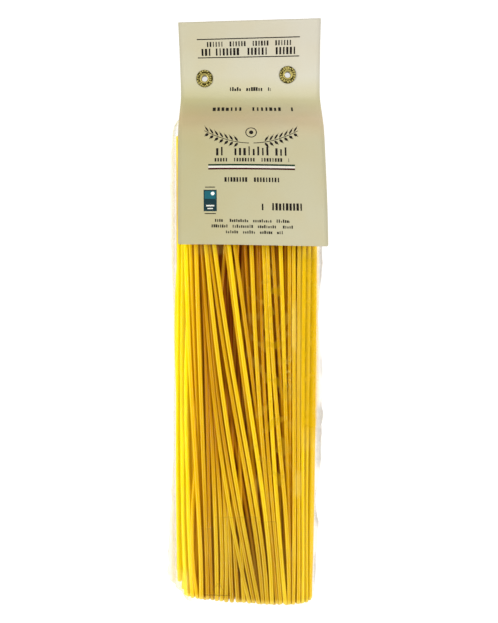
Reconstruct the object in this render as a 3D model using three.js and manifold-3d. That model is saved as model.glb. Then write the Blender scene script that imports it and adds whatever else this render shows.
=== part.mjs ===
// A bag of dry spaghetti with a folded card header, lying on its back.
// Millimetres. +X across the bag, +Y towards the header, +Z up through the bag's thickness.
// The bag and its noodles are one solid: a core with the outer noodles and noodle ends fused on.
// The card is a folded sheet held by two eyelets, which pass through the flattened neck of the bag.

import * as THREE from 'three';
import { mergeVertices } from 'three/addons/utils/BufferGeometryUtils.js';
import Module from 'manifold-3d';

const wasm = await Module();
wasm.setup();

// ---------------------------------------------------------------- driving dimensions

const clearance = 0.3;             // gap between neighbouring pieces

const noodleDiameter = 2.5;
const noodleLength = 258;
const noodleSides = 6;
const hiddenNoodleSides = 5;       // on the sides, the underside and the ends
const noodlePitch = 2.9;           // along the sides and the underside

const bundleTopEnd = 100;          // y of the noodle ends inside the neck
const bundleHalfWidth = 41;        // at the neck end
const bundleFootHalfWidth = 38.9;  // at the far end
const bundleAxisX = -1.0;          // at the neck end
const bundleFootAxisX = -2.7;
const bundleHeight = 28;           // top of the noodles, away from the neck
const neckEndDrop = 5.5;           // how much lower the noodles are at the neck end
const sectionPower = 3;            // rounding of the bundle's section: 2 is an ellipse
const endSlant = 0.06;             // the row of ends runs lower towards +X
const cornerCut = 14;              // shortening of the outermost noodles at the -X foot corner
const coreInset = 1.45;            // core surface below the outline
const coreEndInset = 4;            // core's foot end short of the noodle ends
const stations = [97, 68, 36, 4, -70, -154];   // rings of the core
const topBends = [62, 6, -76];
const sideBends = [46, 14];
const stubLength = 18;

const cardWidth = 81.6;
const cardThickness = 0.5;
const cardEdgeY = 36;              // free edge of the front flap
const cardEdgeZ = 31.4;
const cardBackEdgeY = 41;          // free edge of the back flap
const cardBendY = 128;             // where the header turns up from the table
const cardTopY = 165.5;            // centre of the top fold
const cardTopZ = 12.2;
const foldRadius = 1.25;           // half the distance between the header's two sheets
const cardAxisX = 2.0;             // centre of the flap's free edge
const cardTurn = 0.013;            // drift of the card's axis towards -X along +Y
const edgeDroop = 3.4;             // fall of the flap's long edges over the noodle ends
const edgeLift = 2;                // rise of the +X long edge at the free end
const foldSkew = 0.030;            // slant of the top fold
const freeEdgeSkew = 0.020;        // slant of the front flap's free edge, the other way

const eyeletSpots = [['eyelet_left', -26.0, 136.8], ['eyelet_right', 22.6, 138.9]];
const eyeletRadius = 5.15;
const eyeletBackRadius = 4.4;
const eyeletHoleRadius = 1.75;
const eyeletBarrelRadius = 2.4;
const eyeletFlange = 0.6;
const eyeletBead = 0.35;           // rolled rim round the hole, above the flange

const foldThickness = 1;           // loose film standing out along the bag's sides
const foldHeight = 11;
const foldReach = {                // [y, reach beyond the noodles], from the neck to the foot
  1: [[84, 0.6], [52, 2.4], [22, 2.6], [-4, 0.5], [-30, 3.6], [-62, 4.4], [-90, 3.4], [-108, 0.9],
    [-122, 3.0], [-138, 2.2], [-152, 1.6]],
  '-1': [[84, 1.0], [58, 2.0], [20, 1.8], [-30, 0.6], [-80, 0.7], [-112, 2.6], [-134, 2.9], [-146, 0.4]],
};

const neckHalfWidth = 38.6;
const neckThickness = 1.4;
const neckTopY = 161;

// ---------------------------------------------------------------- small helpers

const lerp = THREE.MathUtils.lerp;
const smoothstep = THREE.MathUtils.smoothstep;

function seededRandom(seed) {
  let state = seed;
  return () => {
    state = (state * 1664525 + 1013904223) % 4294967296;
    return state / 4294967296;
  };
}

// Moves every vertex of a geometry by a function and keeps only its merged positions.
function shaped(geometry, place) {
  const spots = geometry.attributes.position;
  const vertex = new THREE.Vector3();
  for (let i = 0; i < spots.count; i += 1) {
    vertex.fromBufferAttribute(spots, i);
    place(vertex);
    spots.setXYZ(i, vertex.x, vertex.y, vertex.z);
  }
  geometry.deleteAttribute('normal');
  geometry.deleteAttribute('uv');
  return mergeVertices(geometry, 1e-4);
}

function solidOf(geometry) {
  return new wasm.Manifold(new wasm.Mesh({
    numProp: 3,
    vertProperties: new Float32Array(geometry.attributes.position.array),
    triVerts: new Uint32Array(geometry.index.array),
  }));
}

function geometryOf(solid) {
  const mesh = solid.getMesh();
  const geometry = new THREE.BufferGeometry();
  geometry.setAttribute('position', new THREE.BufferAttribute(new Float32Array(mesh.vertProperties), 3));
  geometry.setIndex(new THREE.BufferAttribute(new Uint32Array(mesh.triVerts), 1));
  geometry.computeVertexNormals();
  return geometry;
}

// ---------------------------------------------------------------- the card's side line

const cardFront = new THREE.SplineCurve([
  [cardEdgeY, cardEdgeZ],
  [56, 30.6],
  [76, 28.6],
  [92, 26.2],
  [102, 23.4],
  [109, 18.2],
  [116, 11.4],
  [122, 6.2],
  [cardBendY, 3.7],
  [138, 4.9],
  [152, 8.4],
  [cardTopY, cardTopZ + foldRadius],
].map(([y, z]) => new THREE.Vector2(y, z)));

const cardBack = new THREE.SplineCurve([
  [cardTopY, cardTopZ - foldRadius],
  [152.6, 5.9],
  [138.3, 2.4],
  [cardBendY, 0.9],
  [118, 0.3],
  [104, cardThickness / 2],
  [66, cardThickness / 2],
  [cardBackEdgeY, cardThickness / 2],
].map(([y, z]) => new THREE.Vector2(y, z)));

const frontRows = 22;
const foldRows = 4;
const backRows = 9;
const cardRows = frontRows + foldRows + backRows;

// Point and tangent of the card's middle surface at a row, counted from the front free edge.
function cardLineAt(row) {
  if (row <= frontRows) {
    const along = row / frontRows;
    return { point: cardFront.getPointAt(along), tangent: cardFront.getTangentAt(along) };
  }
  if (row >= frontRows + foldRows) {
    const along = (row - frontRows - foldRows) / backRows;
    const point = cardBack.getPointAt(along);
    const lies = point.y < cardThickness / 2 + 0.02;
    return {
      point: lies ? point.setY(cardThickness / 2) : point,
      tangent: lies ? new THREE.Vector2(-1, 0) : cardBack.getTangentAt(along),
    };
  }
  const start = cardFront.getPointAt(1);
  const end = cardBack.getPointAt(0);
  const middle = start.clone().add(end).multiplyScalar(0.5);
  const turn = Math.PI / 2 - Math.PI * (row - frontRows) / foldRows;
  const spoke = new THREE.Vector2(Math.cos(turn), Math.sin(turn));
  return {
    point: middle.addScaledVector(spoke, foldRadius),
    tangent: new THREE.Vector2(spoke.y, -spoke.x),
  };
}

// Height of a side line at y, read between its sampled points.
function heightOn(line, y) {
  const samples = line.getSpacedPoints(160);
  for (let i = 1; i < samples.length; i += 1) {
    const a = samples[i - 1];
    const b = samples[i];
    if ((a.x - y) * (b.x - y) <= 0) {
      return lerp(a.y, b.y, (y - a.x) / (b.x - a.x || 1));
    }
  }
  return samples[samples.length - 1].y;
}

// Falls and rises of the front flap across its width; across is -1 to 1.
function flapWarp(y, across) {
  const onFlap = 1 - smoothstep(y, 100, 124);
  const droop = lerp(edgeDroop * 0.35, edgeDroop, smoothstep(y, 50, 96)) * onFlap;
  const lift = edgeLift * (1 - smoothstep(y, 40, 112));
  return -droop * across * across + lift * across * Math.abs(across);
}

function makeCard() {
  const sheet = new THREE.BoxGeometry(cardWidth, cardRows, cardThickness, 6, cardRows, 1);
  const geometry = shaped(sheet, (vertex) => {
    const row = Math.round(vertex.y + cardRows / 2);
    const { point, tangent } = cardLineAt(row);
    const across = vertex.x / (cardWidth / 2);
    const normal = new THREE.Vector2(-tangent.y, tangent.x);
    const y = point.x + normal.x * vertex.z;
    let z = point.y + normal.y * vertex.z;
    const isFront = row <= frontRows;
    if (isFront) {
      z += flapWarp(point.x, across);
    }
    const topSkew = foldSkew * smoothstep(point.x, 120, cardTopY);
    const edgeSkew = isFront ? freeEdgeSkew * (1 - smoothstep(point.x, cardEdgeY, 120)) : 0;
    const x = vertex.x;
    vertex.set(x + cardAxisX - cardTurn * (y - cardEdgeY), y + x * (topSkew - edgeSkew), z);
  });
  let card = solidOf(geometry);
  for (const [, x, y] of eyeletSpots) {
    card = card.subtract(eyeletBore(x, y, eyeletBarrelRadius + clearance));
  }
  return geometryOf(card);
}

// ---------------------------------------------------------------- eyelets

// Centre of the header between its two sheets, and its slope, at y.
function headerAt(y) {
  const step = 1.5;
  const middle = (spot) => (heightOn(cardFront, spot) + heightOn(cardBack, spot)) / 2;
  return { z: middle(y), slope: Math.atan2(middle(y + step) - middle(y - step), 2 * step) };
}

function setOnHeader(geometry, x, y) {
  const { z, slope } = headerAt(y);
  geometry.rotateX(Math.PI / 2 + slope);
  geometry.translate(x, y, z);
  return geometry;
}

function eyeletBore(x, y, radius) {
  const bore = new THREE.CylinderGeometry(radius, radius, 20, 16);
  setOnHeader(bore, x, y);
  return solidOf(shaped(bore, () => {}));
}

function makeEyelet(x, y) {
  const seat = foldRadius + cardThickness / 2 + clearance + 0.05;
  const face = seat + eyeletFlange;
  const rim = eyeletHoleRadius + 1.3;
  const outline = [
    [eyeletHoleRadius, -face],
    [eyeletHoleRadius, face],
    [eyeletHoleRadius + 0.35, face + eyeletBead],
    [rim - 0.2, face + eyeletBead],
    [rim + 0.2, face],
    [eyeletRadius - 0.9, face - 0.1],
    [eyeletRadius - 0.25, face - 0.18],
    [eyeletRadius, face - 0.4],
    [eyeletRadius, seat],
    [eyeletBarrelRadius, seat],
    [eyeletBarrelRadius, -seat],
    [eyeletBackRadius, -seat],
    [eyeletBackRadius - 0.1, -face + 0.15],
    [rim, -face - 0.1],
    [eyeletHoleRadius, -face],
  ].map(([r, h]) => new THREE.Vector2(r, h));
  const turned = shaped(new THREE.LatheGeometry(outline.reverse(), 20), () => {});
  return setOnHeader(turned, x, y);
}

// ---------------------------------------------------------------- the bundle's form

function alongFoot(y) {
  return THREE.MathUtils.clamp((bundleTopEnd - y) / noodleLength, 0, 1);
}

function axisX(y) {
  return lerp(bundleAxisX, bundleFootAxisX, alongFoot(y));
}

function halfWidth(y) {
  return lerp(bundleHalfWidth, bundleFootHalfWidth, alongFoot(y) ** 2);
}

function topHeight(y) {
  return bundleHeight - neckEndDrop * smoothstep(y, cardEdgeY, bundleTopEnd);
}

// The underside lies on the table, and on the back flap where that is.
function floorHeight(y) {
  const overCard = cardThickness + clearance + 0.05;
  return overCard * smoothstep(y, cardBackEdgeY - 28, cardBackEdgeY - 6);
}

// Point of the section at an angle, inset from the outline.
function sectionPoint(y, angle, inset) {
  const low = floorHeight(y) + inset;
  const high = topHeight(y) - inset;
  const c = Math.cos(angle);
  const s = Math.sin(angle);
  const power = 2 / sectionPower;
  return {
    x: axisX(y) + (halfWidth(y) - inset) * Math.sign(c) * Math.abs(c) ** power,
    z: (low + high) / 2 + (high - low) / 2 * Math.sign(s) * Math.abs(s) ** power,
  };
}

// Height of the rounded top, inset from the outline, over a place across the bundle.
function crownHeight(x, y, inset) {
  const low = floorHeight(y) + inset;
  const high = topHeight(y) - inset;
  const reach = Math.min(Math.abs(x - axisX(y)) / (halfWidth(y) - inset), 1);
  return (low + high) / 2 + (high - low) / 2 * (1 - reach ** sectionPower) ** (1 / sectionPower);
}

// Where a noodle at x ends, at the neck and at the foot.
function noodleEnds(x) {
  const slant = -endSlant * (x - bundleAxisX) - 2;
  const corner = cornerCut * (1 - smoothstep(x, -bundleHalfWidth - 2, -bundleHalfWidth + 10)) ** 2;
  return { neck: bundleTopEnd + slant, foot: bundleTopEnd - noodleLength + slant + corner };
}

function makeCore() {
  const rounds = 32;
  const rings = stations.length - 1;
  const drum = new THREE.CylinderGeometry(1, 1, rings, rounds, rings);
  return solidOf(shaped(drum, (vertex) => {
    const isCentre = Math.hypot(vertex.x, vertex.z) < 0.5;
    const ring = Math.round(rings / 2 - vertex.y);
    const y = stations[ring];
    const spot = sectionPoint(y, Math.atan2(vertex.z, vertex.x), coreInset);
    const x = isCentre ? axisX(y) : spot.x;
    const cap = ring === rings ? noodleEnds(x).foot + coreEndInset : y;
    vertex.set(x, cap, isCentre ? topHeight(y) / 2 : spot.z);
  }));
}

// A noodle whose middle line is given by two functions of y, with its bends at the given places.
function makeNoodle(neck, foot, bends, routeX, routeZ, sides) {
  const radius = noodleDiameter / 2;
  const places = [neck, ...bends, foot];
  const steps = places.length - 1;
  const stick = new THREE.CylinderGeometry(radius, radius, steps, sides, steps);
  stick.rotateY(sides % 2 ? Math.PI : 0);
  return solidOf(shaped(stick, (vertex) => {
    const y = places[Math.round(steps / 2 - vertex.y)];
    vertex.set(vertex.x + routeX(y), y, vertex.z + routeZ(y));
  }));
}

// Groups of noodles on the top side: places at the card's edge and at the foot, first and last.
const sheaves = [
  { count: 5, top: [-38.9, -29.2], foot: [-38.0, -24.4], bow: 0.8, level: 0 },
  { count: 9, top: [-24.6, -4.0], foot: [-20.6, 3.6], bow: -3.2, level: -0.9 },
  { count: 9, top: [-23.4, 16.6], foot: [9.2, 20.4], bow: 0.5, level: 0.1 },
  { count: 6, top: [0.4, 20.4], foot: [6.0, 21.2], bow: -0.4, level: -0.9 },
  { count: 5, top: [24.3, 36.0], foot: [24.3, 33.0], bow: 0.6, level: 0 },
];

function topNoodles() {
  const random = seededRandom(11);
  const noodles = [];
  for (const sheaf of sheaves) {
    for (let i = 0; i < sheaf.count; i += 1) {
      const share = i / (sheaf.count - 1);
      const shift = (random() - 0.5) * 0.8;
      const top = lerp(sheaf.top[0], sheaf.top[1], share) + shift;
      const foot = lerp(sheaf.foot[0], sheaf.foot[1], share) + (random() - 0.5) * 0.8;
      const ends = noodleEnds(foot);
      const neckY = ends.neck - random() * 2;
      const footY = ends.foot + (random() - 0.5) * 2.4;
      const run = cardEdgeY - (bundleTopEnd - noodleLength);
      const routeX = (y) => {
        const down = (cardEdgeY - y) / run;
        const limit = halfWidth(y) - noodleDiameter / 2 - 0.3;
        const x = lerp(top, foot, down) + sheaf.bow * 4 * down * (1 - down);
        return axisX(y) + THREE.MathUtils.clamp(x - axisX(y), -limit, limit);
      };
      const routeZ = (y) => crownHeight(routeX(y), y, noodleDiameter / 2) + sheaf.level;
      noodles.push(makeNoodle(neckY, footY, topBends, routeX, routeZ, noodleSides));
    }
  }
  return noodles;
}

// Noodles that follow the sides and the underside.
function sideNoodles() {
  const random = seededRandom(23);
  const noodles = [];
  const steps = 720;
  const middleY = bundleTopEnd - noodleLength / 2;
  const inset = noodleDiameter / 2;
  let travelled = 0;
  let last = sectionPoint(middleY, 0.35, inset);
  for (let i = 1; i <= steps; i += 1) {
    const angle = 0.35 - (Math.PI + 0.7) * i / steps;
    const spot = sectionPoint(middleY, angle, inset);
    travelled += Math.hypot(spot.x - last.x, spot.z - last.z);
    last = spot;
    if (travelled >= noodlePitch) {
      travelled = 0;
      const ends = noodleEnds(spot.x);
      const footY = ends.foot + (random() - 0.5) * 2.4;
      const routeX = (y) => sectionPoint(y, angle, inset).x;
      const routeZ = (y) => sectionPoint(y, angle, inset).z;
      noodles.push(makeNoodle(ends.neck - random() * 2, footY, sideBends, routeX, routeZ, hiddenNoodleSides));
    }
  }
  return noodles;
}

// Short ends that stand out of the foot, in staggered rows.
function footEnds() {
  const random = seededRandom(37);
  const stubs = [];
  const pitch = noodleDiameter * 2.05;
  const middleZ = (topHeight(-150) + floorHeight(-150)) / 2;
  const rows = 2;
  for (let row = -rows; row <= rows; row += 1) {
    const z = middleZ + row * pitch * 0.87;
    const inset = noodleDiameter * 1.9;
    const reach = (halfWidth(-150) - inset) * (1 - Math.abs(row * pitch * 0.87 / middleZ) ** 4);
    for (let x = -reach + (row % 2 ? pitch / 2 : 0); x < reach; x += pitch) {
      const spotX = axisX(-150) + x;
      const tip = noodleEnds(spotX).foot + (random() - 0.5) * 2.6;
      stubs.push(makeNoodle(tip + stubLength, tip, [], () => spotX, () => z, hiddenNoodleSides));
    }
  }
  return stubs;
}

// The film gathered flat between the card's sheets, opening out to the noodle ends.
function makeNeck() {
  const start = bundleTopEnd - 14;
  const length = neckTopY - start;
  const slab = new THREE.BoxGeometry(2, length, 2, 6, 14, 1);
  const geometry = shaped(slab, (vertex) => {
    const y = start + length / 2 + vertex.y;
    const across = vertex.x;
    const open = 1 - smoothstep(y, bundleTopEnd + 1, 124);
    const width = lerp(neckHalfWidth, halfWidth(y) - 1.2, open);
    const middle = (heightOn(cardFront, y) + heightOn(cardBack, y)) / 2;
    const flatTop = middle + neckThickness / 2;
    const flatLow = middle - neckThickness / 2;
    const fullTop = Math.min(topHeight(y) - 0.8, heightOn(cardFront, y) - 1.6);
    const rounding = (1 - Math.abs(across) ** 4 * 0.75);
    const centre = (fullTop + floorHeight(y)) / 2;
    const openTop = centre + (fullTop - centre) * rounding;
    const openLow = centre - (centre - floorHeight(y) - 0.4) * rounding;
    const x = lerp(cardAxisX - cardTurn * (y - cardEdgeY), axisX(y), open) + across * width;
    const skew = x * foldSkew * smoothstep(y, 120, cardTopY);
    vertex.set(x, y + skew, vertex.z > 0 ? lerp(flatTop, openTop, open) : lerp(flatLow, openLow, open));
  });
  let neck = solidOf(geometry);
  for (const [, x, y] of eyeletSpots) {
    neck = neck.subtract(eyeletBore(x, y, eyeletBarrelRadius + clearance));
  }
  return neck;
}

// A crease of loose film along one long side; side is 1 or -1.
function sideFold(side) {
  const reachLine = new THREE.SplineCurve(foldReach[side].map(([y, reach]) => new THREE.Vector2(y, reach)));
  const spots = reachLine.getSpacedPoints(15);
  const root = 5;
  const rows = spots.length - 1;
  const strip = new THREE.BoxGeometry(1, rows, foldThickness, 1, rows, 1);
  return solidOf(shaped(strip, (vertex) => {
    const { x: y, y: reach } = spots[Math.round(rows / 2 - vertex.y)];
    const edge = halfWidth(y) + (vertex.x > 0 ? reach : -root);
    const thin = vertex.x > 0 ? 0.5 : 1;
    vertex.set(side * edge + axisX(y), y, foldHeight + side * vertex.z * thin);
  }));
}

function makeBag() {
  let bag = makeCore().add(makeNeck());
  for (const piece of [...topNoodles(), ...sideNoodles(), ...footEnds(), sideFold(1), sideFold(-1)]) {
    bag = bag.add(piece);
  }
  return geometryOf(bag);
}

// ---------------------------------------------------------------- assembly

const pastaFinish = new THREE.MeshStandardMaterial({ color: 0xe9bf2c, roughness: 0.45, metalness: 0 });
const cardFinish = new THREE.MeshStandardMaterial({ color: 0xd9cfb4, roughness: 0.7, metalness: 0 });
const brassFinish = new THREE.MeshStandardMaterial({ color: 0xb89a3c, roughness: 0.35, metalness: 1 });

const pack = new THREE.Group();

const bag = new THREE.Mesh(makeBag(), pastaFinish);
bag.name = 'spaghetti_bag';
pack.add(bag);

const card = new THREE.Mesh(makeCard(), cardFinish);
card.name = 'card_header';
pack.add(card);

for (const [name, x, y] of eyeletSpots) {
  const eyelet = new THREE.Mesh(makeEyelet(x, y), brassFinish);
  eyelet.name = name;
  pack.add(eyelet);
}

// The origin is under the middle of the whole, on the table.
const reach = new THREE.Box3().setFromObject(pack);
pack.position.set(-(reach.min.x + reach.max.x) / 2, -(reach.min.y + reach.max.y) / 2, -reach.min.z);

export default pack;
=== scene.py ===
"""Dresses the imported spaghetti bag: noodles, clear film, printed card header and brass eyelets."""

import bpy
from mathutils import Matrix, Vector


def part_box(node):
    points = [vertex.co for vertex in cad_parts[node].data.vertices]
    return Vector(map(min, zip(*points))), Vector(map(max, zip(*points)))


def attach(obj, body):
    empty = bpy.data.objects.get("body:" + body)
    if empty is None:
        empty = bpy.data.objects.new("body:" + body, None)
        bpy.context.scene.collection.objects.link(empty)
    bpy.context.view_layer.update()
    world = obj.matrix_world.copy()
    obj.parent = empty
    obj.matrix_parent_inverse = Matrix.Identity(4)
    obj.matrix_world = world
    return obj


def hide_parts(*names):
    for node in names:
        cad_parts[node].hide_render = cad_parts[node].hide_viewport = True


bl_info = {
    "name": "Spaghetti bag",
    "version": (1, 0, 0),
    "blender": (4, 5, 0),
    "location": "View3D > Sidebar > Pasta",
    "description": "Builds a clear bag of dry spaghetti with a folded card header",
    "category": "Object",
}

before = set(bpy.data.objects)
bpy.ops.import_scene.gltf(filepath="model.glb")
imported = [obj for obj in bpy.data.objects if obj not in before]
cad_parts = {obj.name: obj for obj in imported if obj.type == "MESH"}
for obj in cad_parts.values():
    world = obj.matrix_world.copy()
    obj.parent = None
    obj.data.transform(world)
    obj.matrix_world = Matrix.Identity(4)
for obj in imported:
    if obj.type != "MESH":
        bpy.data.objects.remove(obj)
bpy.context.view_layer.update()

import math

import bmesh
import bpy
import numpy as np
from bpy.props import FloatProperty, FloatVectorProperty, IntProperty, PointerProperty
from mathutils import Matrix, Vector, noise

MM = 0.001                  # in metres
METRE = 1000.0              # in millimetres


# ------------------------------ the pack's form
# Millimetres, measured from the middle of the pack's front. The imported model's frame differs by
# a small shift, which is read from the left eyelet and the card's top.

NOODLE_LENGTH = 258.0
NECK_END = 100.0            # y of the noodle ends under the card
FOOT_END = NECK_END - NOODLE_LENGTH
NECK_HALF_WIDTH = 41.0
FOOT_HALF_WIDTH = 38.9
NECK_AXIS_X = -1.0
FOOT_AXIS_X = -2.7
BUNDLE_HEIGHT = 28.0
NECK_END_DROP = 5.5         # how much lower the bundle is at the neck
BACK_FLAP_RISE = 0.85       # how far the back flap lifts the lowest noodles
SECTION_POWER = 3.0         # 2 would make the section an ellipse
END_SLANT = 0.06
END_SETBACK = 2.0
CORNER_CUT = 14.0           # how much shorter the leftmost noodles stop at the foot
CORNER_X = -NECK_HALF_WIDTH - 2

CARD_HALF_WIDTH = 40.8
CARD_HALF_THICKNESS = 0.25
CARD_EDGE_Y = 36.0          # free edge of the front flap
CARD_BACK_EDGE_Y = 41.0     # free edge of the back flap
CARD_TOP_Y = 165.5
FOLD_RADIUS = 1.25
CARD_AXIS_X = 2.0
CARD_TURN = 0.013
EDGE_DROOP = 3.4
EDGE_LIFT = 2.0
FOLD_SKEW = 0.030
FREE_EDGE_SKEW = 0.020
# The card's highest y: the fold's outer face at the +X corner, which the skew carries up.
CARD_MAX_Y = CARD_TOP_Y + FOLD_RADIUS + CARD_HALF_THICKNESS + CARD_HALF_WIDTH * FOLD_SKEW
# The flaps' side lines as (y, height).
FRONT_LINE = [(CARD_EDGE_Y, 31.4), (56, 30.6), (76, 28.6), (92, 26.2), (102, 23.4), (109, 18.2),
              (116, 11.4), (122, 6.2), (128, 3.7), (138, 4.9), (152, 8.4), (CARD_TOP_Y, 13.45)]
BACK_LINE = [(CARD_TOP_Y, 10.95), (152.6, 5.9), (138.3, 2.4), (128, 0.9), (118, 0.3), (104, 0.25),
             (66, 0.25), (CARD_BACK_EDGE_Y, 0.25)]

EYELETS = {"eyelet_left": (-26.0, 136.8), "eyelet_right": (22.6, 138.9)}


def smoothstep(value, low, high):
    share = np.clip((value - low) / (high - low), 0.0, 1.0)
    return share * share * (3.0 - 2.0 * share)


def lerp(a, b, share):
    return a + (b - a) * share


def travelled(line):
    """How far along a line each of its points lies."""
    return np.concatenate([[0], np.cumsum(np.hypot(*np.diff(line, axis=0).T))])


def catmull_rom(points, count):
    """An even polyline through the points, as count points."""
    knots = np.array([points[0], *points, points[-1]], float)
    t = np.linspace(0, 1, 40, endpoint=False)[:, None]
    runs = []
    for a, b, c, d in zip(knots[:-3], knots[1:-2], knots[2:-1], knots[3:]):
        va, vb = (c - a) / 2, (d - b) / 2
        cubic, square = 2 * b - 2 * c + va + vb, -3 * b + 3 * c - 2 * va - vb
        runs.append(cubic * t ** 3 + square * t ** 2 + va * t + b)
    line = np.vstack([*runs, knots[-1:]])
    travel = travelled(line)
    even = np.linspace(0, travel[-1], count)
    return np.column_stack([np.interp(even, travel, line[:, k]) for k in (0, 1)])


FRONT = catmull_rom(FRONT_LINE, 400)
BACK = catmull_rom(BACK_LINE, 400)


def front_height(y):
    return np.interp(y, FRONT[:, 0], FRONT[:, 1])


def back_height(y):
    return np.maximum(np.interp(y, BACK[::-1, 0], BACK[::-1, 1]), CARD_HALF_THICKNESS)


def header_at(y):
    """Middle height of the header's two sheets at y, and their slope."""
    step = 1.5
    middle = [(front_height(spot) + back_height(spot)) / 2 for spot in (y - step, y, y + step)]
    return middle[1], math.atan2(middle[2] - middle[0], 2 * step)


def foot_share(y):
    return np.clip((NECK_END - y) / NOODLE_LENGTH, 0, 1)


def axis_x(y):
    return lerp(NECK_AXIS_X, FOOT_AXIS_X, foot_share(y))


def half_width(y):
    return lerp(NECK_HALF_WIDTH, FOOT_HALF_WIDTH, foot_share(y) ** 2)


def top_height(y):
    return BUNDLE_HEIGHT - NECK_END_DROP * smoothstep(y, CARD_EDGE_Y, NECK_END)


def floor_height(y):
    return BACK_FLAP_RISE * smoothstep(y, CARD_BACK_EDGE_Y - 28, CARD_BACK_EDGE_Y - 6)


def section_rise(share):
    """Half height of the unit section at a share of its half width, and the other way round."""
    return (1 - np.minimum(np.abs(share), 1) ** SECTION_POWER) ** (1 / SECTION_POWER)


def section_reach(across, up):
    """How far out a place in the unit section lies: 1 on its edge."""
    return (np.abs(across) ** SECTION_POWER + np.abs(up) ** SECTION_POWER) ** (1 / SECTION_POWER)


def crown_height(x, y, inset):
    """Height of the bundle's rounded top over a place."""
    low, high = floor_height(y) + inset, top_height(y) - inset
    return (low + high) / 2 + (high - low) / 2 * section_rise((x - axis_x(y)) / (half_width(y) - inset))


def depth_inside(x, y, z):
    """How far a point lies under the bundle's rounded outside, roughly."""
    low, high = floor_height(y), top_height(y)
    reach = section_reach((x - axis_x(y)) / half_width(y), (z - (low + high) / 2) / ((high - low) / 2))
    return BUNDLE_HEIGHT / 2 * (1 - reach)


def noodle_ends(x):
    """Where a noodle at x ends, at the neck and at the foot."""
    slant = -END_SLANT * (x - NECK_AXIS_X) - END_SETBACK
    corner = CORNER_CUT * (1 - smoothstep(x, CORNER_X, CORNER_X + 12)) ** 2
    return NECK_END + slant, FOOT_END + slant + corner


def frame_shift():
    """From the pack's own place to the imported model's frame, in metres."""
    low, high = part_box("eyelet_left")
    middle = (low + high) / 2
    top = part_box("card_header")[1]
    return Vector((middle.x - EYELETS["eyelet_left"][0] * MM, top.y - CARD_MAX_Y * MM, 0))


# ------------------------------ sizes and colours for the user


class PackSizes(bpy.types.PropertyGroup):
    """Sizes of the loose things in the pack."""

    noodle_diameter: FloatProperty(
        name="Noodle diameter", description="Thickness of one noodle", default=0.0025, unit="LENGTH")
    noodle_count: IntProperty(
        name="Noodles", description="How many noodles fill the bag", default=272, min=60)
    card_width: FloatProperty(
        name="Card width", description="Width of the folded card", default=0.0816, unit="LENGTH")
    card_thickness: FloatProperty(
        name="Card thickness", description="Thickness of the card", default=0.0005, unit="LENGTH")
    seed: IntProperty(name="Seed", description="Seed of every random draw", default=7)


def colour_property(name, description, default):
    return FloatVectorProperty(
        name=name, description=description, default=default, subtype="COLOR", size=3)


class PackColours(bpy.types.PropertyGroup):
    """Main colours of the pack."""

    pasta: colour_property("Pasta", "Colour of the pasta", (0.70, 0.445, 0.001))
    card: colour_property("Card", "Colour of the bare card", (0.516, 0.484, 0.371))
    ink: colour_property("Ink", "Colour of the dark print", (0.008, 0.006, 0.005))
    brass: colour_property("Brass", "Colour of the eyelets", (0.50, 0.42, 0.13))


def tinted(colour, factors):
    """A colour times fixed factors, worked out once."""
    return tuple(part * factor for part, factor in zip(colour, factors))


# ------------------------------ shader expressions


def feed(slot, value):
    """Links a wire or a socket to an input, or sets its value; a colour may leave out its alpha."""
    if isinstance(value, Wire):
        value = value.socket
    if isinstance(value, bpy.types.NodeSocket):
        slot.id_data.links.new(value, slot)
    elif slot.type == "RGBA" and len(value) == 3:
        slot.default_value = (*value, 1)
    else:
        slot.default_value = value


def set_stops(ramp, stops):
    """Places a ramp's stops; the colour of a stop is three numbers, or one for a grey."""
    while len(ramp.elements) < len(stops):
        ramp.elements.new(0.5)
    for element, (place, colour) in zip(ramp.elements, stops):
        element.position = place
        element.color = (*np.broadcast_to(colour, 3), 1)


def open_input(node, name):
    for slot in node.inputs:
        if slot.name.lower() == name.lower() and slot.enabled:
            return slot
    raise KeyError(f"{node.bl_idname} has no input {name}")


def add_node(tree, kind, settings=None, *values, **named):
    """A node with its settings; the values feed its first inputs, and the named ones feed by name."""
    node = tree.nodes.new(kind)
    for key, value in (settings or {}).items():
        if key == "stops":
            set_stops(node.color_ramp, value)
        else:
            setattr(node, key, value)
    for slot, value in zip(node.inputs, values):
        feed(slot, value)
    for key, value in named.items():
        feed(open_input(node, key.replace("_", " ")), value)
    return node


def maths(operation, reflected=False):
    """A method of Wire that adds one Math node."""
    def method(wire, *others):
        values = (*others, wire) if reflected else (wire, *others)
        node = add_node(wire.socket.id_data, "ShaderNodeMath", {"operation": operation}, *values)
        return Wire(node.outputs[0])
    return method


class Wire:
    """A number output in a node tree that takes part in Python expressions."""

    def __init__(self, socket):
        self.socket = socket

    __add__ = __radd__ = maths("ADD")
    __sub__ = maths("SUBTRACT")
    __rsub__ = maths("SUBTRACT", reflected=True)
    __mul__ = __rmul__ = maths("MULTIPLY")
    __truediv__ = maths("DIVIDE")
    __rtruediv__ = maths("DIVIDE", reflected=True)
    __pow__ = maths("POWER")
    __lt__ = maths("LESS_THAN")
    __gt__ = maths("GREATER_THAN")
    __abs__ = maths("ABSOLUTE")
    times_add = maths("MULTIPLY_ADD")
    fract = maths("FRACT")
    floor = maths("FLOOR")
    at_least = maths("MAXIMUM")
    at_most = maths("MINIMUM")

    def clamped(self):
        return self.at_least(0.0).at_most(1.0)

    def rise(self, start, end):
        """0 up to the start and 1 from the end on, which may be the smaller of the two."""
        return ((self - start) / (end - start)).clamped()

    def greatest(self, *others):
        wire = self
        for other in others:
            wire = wire.at_least(other)
        return wire


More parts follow.
